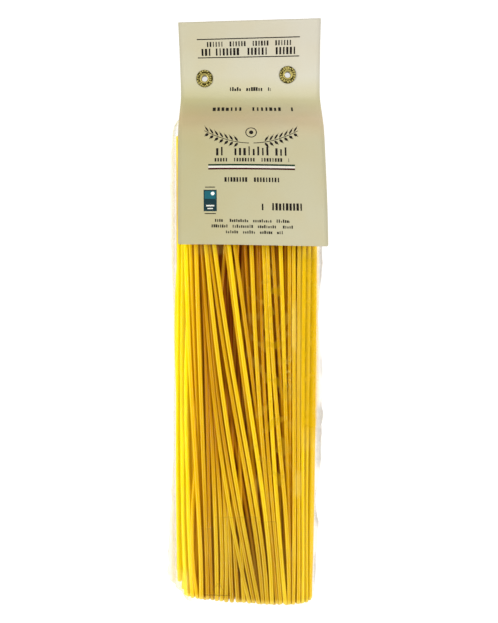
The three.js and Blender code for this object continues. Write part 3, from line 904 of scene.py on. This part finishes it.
def noodle_template(sides, rings):
    """One noodle of unit size: rings round +Y from 0 to 1, closed at both ends."""
    chamfer, chamfered = 0.0016, 0.8
    bm = bmesh.new()
    bmesh.ops.create_circle(bm, cap_ends=False, segments=sides, radius=1,
                            matrix=Matrix.Rotation(math.radians(90), 4, "X"))
    first = edges = list(bm.edges)
    steps = [0.0, chamfer, *np.linspace(0.01, 0.99, rings - 3), 1.0 - chamfer, 1.0]
    for low, high in zip(steps, steps[1:]):
        verts, edges = grow(bm, edges)
        bmesh.ops.translate(bm, verts=verts, vec=(0, high - low, 0))
    for vertex in bm.verts:
        if min(vertex.co.y, 1 - vertex.co.y) < chamfer / 2:
            vertex.co.x *= chamfered
            vertex.co.z *= chamfered
    fill_rings(bm, first, edges)
    bmesh.ops.recalc_face_normals(bm, faces=bm.faces)
    bm.verts.ensure_lookup_table()
    points = np.array([v.co for v in bm.verts])
    faces = [[v.index for v in face.verts] for face in bm.faces]
    bm.free()
    return points, faces


class PASTA_OT_noodles(bpy.types.Operator):
    """Fill the bag with spaghetti that cross and lean as they were dropped in"""

    bl_idname = "pasta.noodles"
    bl_label = "Noodles"

    def execute(self, context):
        sizes = context.scene.pack_sizes
        diameter = sizes.noodle_diameter / MM
        rng = np.random.default_rng(sizes.seed + 100)
        points, faces = noodle_template(sides=10, rings=26)
        lines = pack_noodles(sizes.noodle_count, diameter, sizes.seed)
        vertices, polygons = [], []
        marks = {name: [] for name in POINT_MARKS}
        for i, (line_x, line_z, line_layer) in enumerate(lines):
            middle = np.polyval(line_x, (NECK_END + FOOT_END) / 2)
            foot_x = np.polyval(line_x, FOOT_END)
            neck = noodle_ends(middle)[0] - rng.uniform(0, 1.5)
            under = crown_height(foot_x, FOOT_END, diameter / 2) - np.polyval(line_z, FOOT_END)
            short = 1.2 * float(smoothstep(under, 0.6, 2.2))
            foot = noodle_ends(foot_x)[1] + rng.uniform(0, 0.35) - short
            y = lerp(foot, neck, points[:, 1])
            radius = diameter / 2 * rng.normal(1, 0.02)
            x = np.polyval(line_x, y) + points[:, 0] * radius
            z = np.polyval(line_z, y) + points[:, 2] * radius
            vertices.append(np.column_stack([x, y, z]))
            polygons += [[v + i * len(points) for v in face] for face in faces]
            tint = np.full(len(points), rng.uniform(0, 1))
            tip = 1 - smoothstep(np.minimum(y - foot, neck - y), 0.3, 2.0)
            values = (tint, y, points[:, 0], depth_inside(x, y, z), np.polyval(line_layer, y), tip)
            for name, value in zip(POINT_MARKS, values):
                marks[name].append(value)
        mesh = bpy.data.meshes.new("noodles")
        mesh.from_pydata(np.vstack(vertices), [], polygons)
        piece = link_piece("noodles", mesh, pasta_finish(context.scene.pack_colours))
        for name, values in marks.items():
            mark_points(piece, name, np.concatenate(values))
        mesh.polygons.foreach_set("use_smooth", [len(face.vertices) == 4 for face in mesh.polygons])
        to_frame(piece)
        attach(piece, "root")
        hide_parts("spaghetti_bag")
        return {"FINISHED"}


# ------------------------------ film

FILM_OFF = 0.12             # how far the film lies off the noodles
FILM_FLOOR_OFF = 0.08
FILM_UNDER_CARD = 1.3       # from the card's side line down to the film
FOLD_HEIGHT = 11.0          # height of the slack side folds over the table
FOLD_SPREAD = 1.6
FOLD_FULL = 2.4             # reach at which a fold counts as fully slack
# How far the slack folds reach out, as (y, reach), on the right and on the left.
FOLD_REACH = {
    1: [(130, 0), (84, 0.6), (52, 2.4), (22, 2.6), (-4, 0.5), (-30, 3.6), (-62, 4.4), (-90, 3.4),
        (-108, 0.9), (-122, 3.0), (-138, 2.2), (-152, 1.6), (-162, 0)],
    -1: [(130, 0), (98, 2.2), (84, 3.0), (58, 3.0), (30, 2.4), (0, 1.2), (-30, 1.0), (-84, 1.4),
         (-108, 2.8), (-128, 4.4), (-150, 5.0), (-162, 4.4), (-165, 1.5)],
}
FILM_GATHERED_Y = 124.0     # from here on up the film lies flat between the card's sheets
FILM_NECK_Y = 161.0
FILM_NECK_HALF = 38.6
FILM_NECK_THICKNESS = 1.4
FILM_BORE = 2.75
FILM_COLUMNS = 168
# Rows of film points: first and last y, and their number.
FILM_ROWS = ((FOOT_END, NECK_END - 6, 96), (NECK_END - 5, 126, 22), (128, FILM_NECK_Y, 12))
FOOT_CLOSINGS = (1.0, 0.85, 0.6, 0.3, 0.1)      # how far each row at the foot is drawn together
# Colours of the main film's slack folds, left and right: pale yellow painted light, and grey painted
# shade.
SIDE_RIMS = ((0.82, 0.72, 0.22), (0.44, 0.41, 0.35))
# Colour of the foot flap's rim: a broken amber line along its top edge.
FLAP_RIMS = ((0.50, 0.33, 0.05), (0.50, 0.33, 0.05))
FLAP_SIDES = (-27.0, 24.5)
FLAP_TOP = -118.6
# Steps of the flap's top edge: rise, and the x where each starts and ends.
FLAP_STEPS = ((6.5, -20.0, -19.0), (-2.6, 5.0, 5.8), (-15.5, 15.5, 17.0))
FLAP_OFF = 0.55             # over the noodles' crown
FLAP_THICKNESS = 0.08


def even_angles(count):
    """Angles that step evenly round the bundle's section."""
    fine = np.linspace(0, 2 * math.pi, 4001)
    c, s = np.cos(fine), np.sin(fine)
    power = 2 / SECTION_POWER
    x = 40 * np.sign(c) * np.abs(c) ** power
    z = 14 * np.sign(s) * np.abs(s) ** power
    travel = travelled(np.column_stack([x, z]))
    return np.interp(np.linspace(0, travel[-1], count, endpoint=False), travel, fine)


def film_point(angle, y, close):
    """A point of the film's surface and its slackness; close draws the foot's end together."""
    c, s = math.cos(angle), math.sin(angle)
    power = 2 / SECTION_POWER
    side = math.copysign(abs(c) ** power, c)
    rise = math.copysign(abs(s) ** power, s)
    opening = float(1 - smoothstep(y, NECK_END + 1, FILM_GATHERED_Y))
    width = lerp(FILM_NECK_HALF, half_width(y) + FILM_OFF, opening)
    low, high = floor_height(y) + FILM_FLOOR_OFF, top_height(y) + FILM_OFF
    high = min(high, front_height(y) - FILM_UNDER_CARD) if y > CARD_EDGE_Y else high
    middle = (front_height(y) + back_height(y)) / 2
    low = lerp(middle - FILM_NECK_THICKNESS / 2, low, opening)
    high = lerp(middle + FILM_NECK_THICKNESS / 2, high, opening)
    centre, half = (low + high) / 2, (high - low) / 2
    x = lerp(CARD_AXIS_X - CARD_TURN * (y - CARD_EDGE_Y), axis_x(y), opening) + width * side
    z = centre + half * rise
    direction = 1 if c > 0 else -1
    line = FOLD_REACH[direction]
    reach = np.interp(-y, [-p[0] for p in line], [p[1] for p in line])
    crease = math.exp(-((z - FOLD_HEIGHT) / FOLD_SPREAD) ** 2) * (abs(c) > 0.5) * (1 - close)
    ripple = 1 + 0.25 * noise.noise(Vector((y * 0.16, direction * 5.0, 0)))
    x += direction * reach * ripple * crease
    z = lerp(z, centre, close)
    crumple = noise.noise(Vector((x * 0.11, y * 0.035, z * 0.11 + 3.0)))
    fine = noise.noise(Vector((x * 0.33 + y * 0.05, y * 0.16, z * 0.3)))
    swell = (0.30 * max(crumple, 0) + 0.16 * max(fine, 0)) * opening
    pleat = 0.7 * math.sin(x * 1.9) * opening * float(smoothstep(y, NECK_END - 8, NECK_END + 6))
    if s > 0.12:
        z += swell * 1.4 + pleat * 0.5
    x += swell * side * 0.8
    return x, z, min(crease * reach / FOLD_FULL, 1)


def extruded_rings(bm, count, rings):
    """Grows a ring of count edges into a closed tube; returns its vertices ring by ring, in order."""
    bmesh.ops.create_circle(bm, cap_ends=False, segments=count, radius=1)
    edges = first = list(bm.edges)

    def in_order(verts):
        return sorted(verts, key=lambda v: math.atan2(v.co.y, v.co.x) % (2 * math.pi))

    grown_rings = [in_order(bm.verts)]
    for _ in range(rings - 1):
        verts, edges = grow(bm, edges)
        grown_rings.append(in_order(verts))
    fill_rings(bm, first, edges)
    return grown_rings


def film_foot(x):
    """y of the film's end at the foot."""
    return noodle_ends(max(x, -37.5))[1] - 1.35


class PASTA_OT_film(bpy.types.Operator):
    """Wrap the noodles in clear film, gathered flat under the card and folded shut at the foot"""

    bl_idname = "pasta.film"
    bl_label = "Film"

    def execute(self, context):
        angles = even_angles(FILM_COLUMNS)
        levels = [(FOOT_END, close) for close in FOOT_CLOSINGS]
        levels += [(y, 0.0) for span in FILM_ROWS for y in np.linspace(*span)]
        bm = bmesh.new()
        slack = bm.verts.layers.float.new("loose")
        rings = extruded_rings(bm, len(angles), len(levels))
        for (y, close), verts in zip(levels, rings):
            near_foot = 1 - float(smoothstep(y, FOOT_END, FOOT_END + 30))
            skew = FOLD_SKEW * float(smoothstep(y, 120, CARD_TOP_Y))
            for angle, vertex in zip(angles, verts):
                x, z, loose = film_point(angle, y, close)
                shift = (film_foot(x) - FOOT_END) * near_foot - 0.8 * math.sin(close * math.pi / 2)
                vertex.co = (x, y + shift + x * skew, z)
                vertex[slack] = loose
        bmesh.ops.recalc_face_normals(bm, faces=bm.faces)
        piece = new_piece("film", bm, film_finish("clear_film", SIDE_RIMS))
        bore_eyelets(piece, FILM_BORE)
        to_frame(piece)
        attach(piece, "root")
        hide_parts("spaghetti_bag")
        self.fold_foot_flap()
        return {"FINISHED"}

    def fold_foot_flap(self):
        """The film left over at the foot, turned up over the front."""
        bm = bmesh.new()
        slack = bm.verts.layers.float.new("loose")
        bmesh.ops.create_grid(bm, x_segments=44, y_segments=40, size=0.5)
        for vertex in bm.verts:
            across, up = vertex.co.x + 0.5, vertex.co.y + 0.5
            x = lerp(*FLAP_SIDES, across)
            steps = sum(rise * smoothstep(x, start, end) for rise, start, end in FLAP_STEPS)
            top = FLAP_TOP + float(steps) + 0.5 * noise.noise(Vector((x * 0.3, 0, 0)))
            y = lerp(film_foot(x) - 0.3, top, 1 - (1 - up) ** 1.6)
            splay = (0.8 - 0.05 * (y - FOOT_END)) * (1 if across > 0.5 else -0.4)
            x += splay * abs(2 * across - 1) ** 4
            wave = noise.noise(Vector((x * 0.25, y * 0.09, 9.0)))
            vertex.co = (x, y, float(crown_height(x, y, 0)) + FLAP_OFF + 0.35 * max(wave, 0))
            broken = max(noise.noise(Vector((x * 0.35, 2.0, 0))) + 0.35, 0)
            vertex[slack] = 0.35 * broken * math.exp(-((top - y) / 0.5) ** 2)
        piece = new_piece("film_foot_flap", bm, film_finish("doubled_film", FLAP_RIMS))
        thicken(piece, FLAP_THICKNESS, 1)
        settle(piece)
        to_frame(piece)
        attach(piece, "root")
        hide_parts("spaghetti_bag")


# ------------------------------ card header

CARD_CORNER = 0.9           # rounding of the free corners
CARD_BORE = 2.7
CARD_COLUMNS = 28


def card_line(thickness):
    """The card's side line from the front free edge, over the fold, to the back free edge."""
    front = catmull_rom(FRONT_LINE, 120)
    back = catmull_rom(BACK_LINE, 90)
    near_edge = (0.06, 0.15, 0.3, 0.5)
    front = np.insert(front, 1, [lerp(front[0], front[1], share) for share in near_edge], axis=0)
    back = np.insert(back, -1, [lerp(back[-1], back[-2], share) for share in near_edge[::-1]], axis=0)
    back[:, 1] = np.maximum(back[:, 1], thickness / 2)
    middle = (front[-1] + back[0]) / 2
    turns = np.linspace(math.pi / 2, -math.pi / 2, 11)[1:-1]
    fold = middle + FOLD_RADIUS * np.column_stack([np.cos(turns), np.sin(turns)])
    line = np.vstack([front, fold, back])
    return line, travelled(line), len(front)


def flap_warp(y, across):
    """How far the front flap lies off its side line, by the share of its half width."""
    on_flap = 1 - smoothstep(y, 100, 124)
    droop = lerp(EDGE_DROOP * 0.35, EDGE_DROOP, smoothstep(y, 50, 96)) * on_flap
    lift = EDGE_LIFT * (1 - smoothstep(y, 40, 112))
    return -droop * across ** 2 + lift * across * abs(across)


class PASTA_OT_card(bpy.types.Operator):
    """Fold the printed card over the neck of the bag"""

    bl_idname = "pasta.card"
    bl_label = "Card header"

    def execute(self, context):
        sizes, colours = context.scene.pack_sizes, context.scene.pack_colours
        width, thickness = sizes.card_width / MM, sizes.card_thickness / MM
        line, travel, front_count = card_line(thickness)
        bm = bmesh.new()
        uv = bm.loops.layers.uv.new("sheet")
        bmesh.ops.create_grid(bm, x_segments=CARD_COLUMNS, y_segments=len(line) - 1, size=0.5)
        flat = {}
        for vertex in bm.verts:
            row = round((vertex.co.y + 0.5) * (len(line) - 1))
            across = vertex.co.x * 2
            y, z = line[row]
            skew = FOLD_SKEW * float(smoothstep(y, 120, CARD_TOP_Y))
            if row < front_count:
                z += flap_warp(y, across)
                skew -= FREE_EDGE_SKEW * (1 - float(smoothstep(y, CARD_EDGE_Y, 120)))
            inside = min(travel[row], travel[-1] - travel[row])
            corner = CARD_CORNER - math.sqrt(max(CARD_CORNER ** 2 - max(CARD_CORNER - inside, 0) ** 2, 0))
            x = across * (width / 2 - corner)
            flat[vertex] = (x * MM, travel[row] * MM)
            vertex.co = (x + CARD_AXIS_X - CARD_TURN * (y - CARD_EDGE_Y), y + x * skew, z)
        for face in bm.faces:
            for loop in face.loops:
                loop[uv].uv = flat[loop.vert]
        piece = new_piece("card", bm, card_finish(colours))
        piece.data.materials.append(plain_card_finish(colours))
        sheet = thicken(piece, thickness, 0)
        sheet.material_offset = 1
        sheet.material_offset_rim = 1
        settle(piece)
        bore_eyelets(piece, CARD_BORE)
        to_frame(piece)
        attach(piece, "root")
        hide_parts("card_header")
        return {"FINISHED"}


# ------------------------------ eyelets

EYELET_RADIUS = 4.85
EYELET_BACK_RADIUS = 4.4
EYELET_HOLE = 1.75
EYELET_BARREL = 2.4
EYELET_SEAT = FOLD_RADIUS + CARD_HALF_THICKNESS + 0.05
EYELET_FACE = EYELET_SEAT + 0.55
EYELET_MARKS = 19           # stamped marks round a flange
MARK_RING = 3.75            # middle radius of the stamped ring
MARK_HEIGHT = 0.22


def eyelet_outline():
    """Half section as (radius, height): barrel, front flange with its rolled rim, back flange."""
    seat, face = EYELET_SEAT, EYELET_FACE
    rim = [(EYELET_HOLE + 0.55 - 0.55 * math.cos(a), face + 0.1 + 0.4 * math.sin(a))
           for a in np.linspace(0, math.pi, 9)]
    radii = np.linspace(EYELET_HOLE + 1.15, EYELET_RADIUS - 0.55, 12)
    ring = [(r, face - 0.12 + 0.02 * (r - 3.4)) for r in radii]
    edge = [(EYELET_RADIUS - 0.5 + 0.5 * math.cos(a), face - 0.4 + 0.34 * math.sin(a))
            for a in np.linspace(math.radians(80), math.radians(-40), 6)]
    back = [(EYELET_BARREL, seat), (EYELET_BARREL, -seat), (EYELET_BACK_RADIUS, -seat),
            (EYELET_BACK_RADIUS + 0.05, -face + 0.2), (EYELET_HOLE + 1.2, -face - 0.15),
            (EYELET_HOLE + 0.3, -face + 0.05), (EYELET_HOLE, -face + 0.4)]
    return rim + ring + edge + [(EYELET_RADIUS - 0.35, seat)] + back


def stamped_relief(place, number):
    """How high the stamp stands at a place of a flange, from 0 to 1."""
    radius = math.hypot(place.x, place.y)
    turn = math.atan2(place.y, place.x) + number
    in_ring = math.exp(-((radius - MARK_RING) / 0.75) ** 4) * (place.z > EYELET_FACE - 0.3)
    tick = math.floor(turn * EYELET_MARKS / (2 * math.pi))
    chance = math.sin(tick * 12.9898 + number * 4.1) * 43758.5453 % 1
    within = 0.5 + 0.5 * math.cos(EYELET_MARKS * turn - math.pi)
    is_marked = chance > 0.62 or (radius < 3.9) == (chance < 0.3)
    return float(in_ring * smoothstep(within, 0.25, 0.6) * is_marked)


class PASTA_OT_eyelets(bpy.types.Operator):
    """Set the two stamped brass eyelets through the card"""

    bl_idname = "pasta.eyelets"
    bl_label = "Eyelets"

    def execute(self, context):
        material = brass_finish(context.scene.pack_colours)
        for number, (node, (x, y)) in enumerate(EYELETS.items()):
            bm = bmesh.new()
            verts = [bm.verts.new((radius, 0, height)) for radius, height in eyelet_outline()]
            edges = [bm.edges.new((a, b)) for a, b in zip(verts, verts[1:] + verts[:1])]
            bmesh.ops.spin(bm, geom=verts + edges, cent=(0, 0, 0), axis=(0, 0, 1), angle=2 * math.pi,
                           steps=8 * EYELET_MARKS, use_merge=True)
            bmesh.ops.remove_doubles(bm, verts=bm.verts, dist=1e-4)
            bmesh.ops.recalc_face_normals(bm, faces=bm.faces)
            reliefs = []
            for vertex in bm.verts:
                relief = stamped_relief(vertex.co, number)
                vertex.co.z += MARK_HEIGHT * relief
                reliefs.append(max(relief, float(vertex.co.z > EYELET_FACE) * 0.9))
            bmesh.ops.transform(bm, matrix=header_matrix(x, y), verts=bm.verts)
            piece = new_piece(node + "_brass", bm, material)
            mark_points(piece, "relief", reliefs)
            to_frame(piece)
            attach(piece, "root")
            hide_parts(node)
        return {"FINISHED"}


# ------------------------------ stage

CAMERA_HEIGHT = 350.0       # above the table
FOCAL_PIXELS = 588.7
IMAGE_HEIGHT = 623          # pixels
SENSOR_HEIGHT = 24.0
FLOOR_HALF_SIZE = 3         # metres
SKY_STRENGTH = 0.18
# Lights: name, place and target in metres, width and height in metres, and power in watts.
LIGHTS = (("key", (-1.3, -0.15, 0.85), (0, 0, 0), (1.5, 0.4), 25.0),
          ("fill", (1.3, -0.25, 0.90), (0, 0, 0), (1.5, 0.45), 25.0),
          ("front", (-0.1, -1.25, 0.95), (0, 0, 0), (0.9, 0.5), 4.5),
          ("back", (0.1, 1.1, 0.9), (0, 0.05, 0), (1.0, 0.5), 7.5))


def add_light(name, place, target, size, power):
    """A soft rectangular light that faces a target."""
    light = bpy.data.lights.new(name, "AREA")
    light.shape = "RECTANGLE"
    light.size, light.size_y = size
    light.energy = power
    lamp = bpy.data.objects.new(name, light)
    lamp.location = place
    lamp.rotation_euler = (Vector(target) - Vector(place)).to_track_quat("-Z", "Y").to_euler()
    bpy.context.scene.collection.objects.link(lamp)


class PASTA_OT_stage(bpy.types.Operator):
    """Lay a pale floor, soft light and a camera that looks straight down"""

    bl_idname = "pasta.stage"
    bl_label = "Stage"

    def execute(self, context):
        scene = context.scene
        bm = bmesh.new()
        bmesh.ops.create_grid(bm, x_segments=8, y_segments=8, size=FLOOR_HALF_SIZE)
        floor = new_piece("floor", bm, floor_finish(), smooth=False)
        world = bpy.data.worlds.new("studio")
        world.use_nodes = True
        sky = world.node_tree.nodes["Background"]
        sky.inputs["Color"].default_value = (1, 1, 1, 1)
        sky.inputs["Strength"].default_value = SKY_STRENGTH
        scene.world = world
        for light in LIGHTS:
            add_light(*light)
        shift = frame_shift()
        lens = bpy.data.cameras.new("camera")
        lens.sensor_fit = "VERTICAL"
        lens.sensor_height = SENSOR_HEIGHT
        lens.lens = FOCAL_PIXELS / IMAGE_HEIGHT * SENSOR_HEIGHT
        lens.clip_start = 0.01
        camera = bpy.data.objects.new("camera", lens)
        camera.location = (shift.x, shift.y, CAMERA_HEIGHT * MM)
        scene.collection.objects.link(camera)
        scene.camera = camera
        scene.view_settings.view_transform = "Standard"
        return {"FINISHED"}


# ------------------------------ panel and registration


class PASTA_PT_pack(bpy.types.Panel):
    """Sizes, colours and steps of the pack"""

    bl_label = "Spaghetti bag"
    bl_idname = "PASTA_PT_pack"
    bl_space_type = "VIEW_3D"
    bl_region_type = "UI"
    bl_category = "Pasta"

    def draw(self, context):
        column = self.layout.column()
        for group in (context.scene.pack_sizes, context.scene.pack_colours):
            for name in group.__annotations__:
                column.prop(group, name)
        for step in STEPS:
            column.operator(step.bl_idname)


STEPS = (PASTA_OT_noodles, PASTA_OT_film, PASTA_OT_card, PASTA_OT_eyelets, PASTA_OT_stage)
CLASSES = (PackSizes, PackColours, *STEPS, PASTA_PT_pack)


def register():
    for kind in CLASSES:
        bpy.utils.register_class(kind)
    bpy.types.Scene.pack_sizes = PointerProperty(type=PackSizes)
    bpy.types.Scene.pack_colours = PointerProperty(type=PackColours)


def unregister():
    del bpy.types.Scene.pack_colours
    del bpy.types.Scene.pack_sizes
    for kind in reversed(CLASSES):
        bpy.utils.unregister_class(kind)


def main():
    register()
    bpy.ops.pasta.stage()
    bpy.ops.pasta.noodles()
    bpy.ops.pasta.film()
    bpy.ops.pasta.card()
    bpy.ops.pasta.eyelets()


if __name__ == "__main__":
    main()
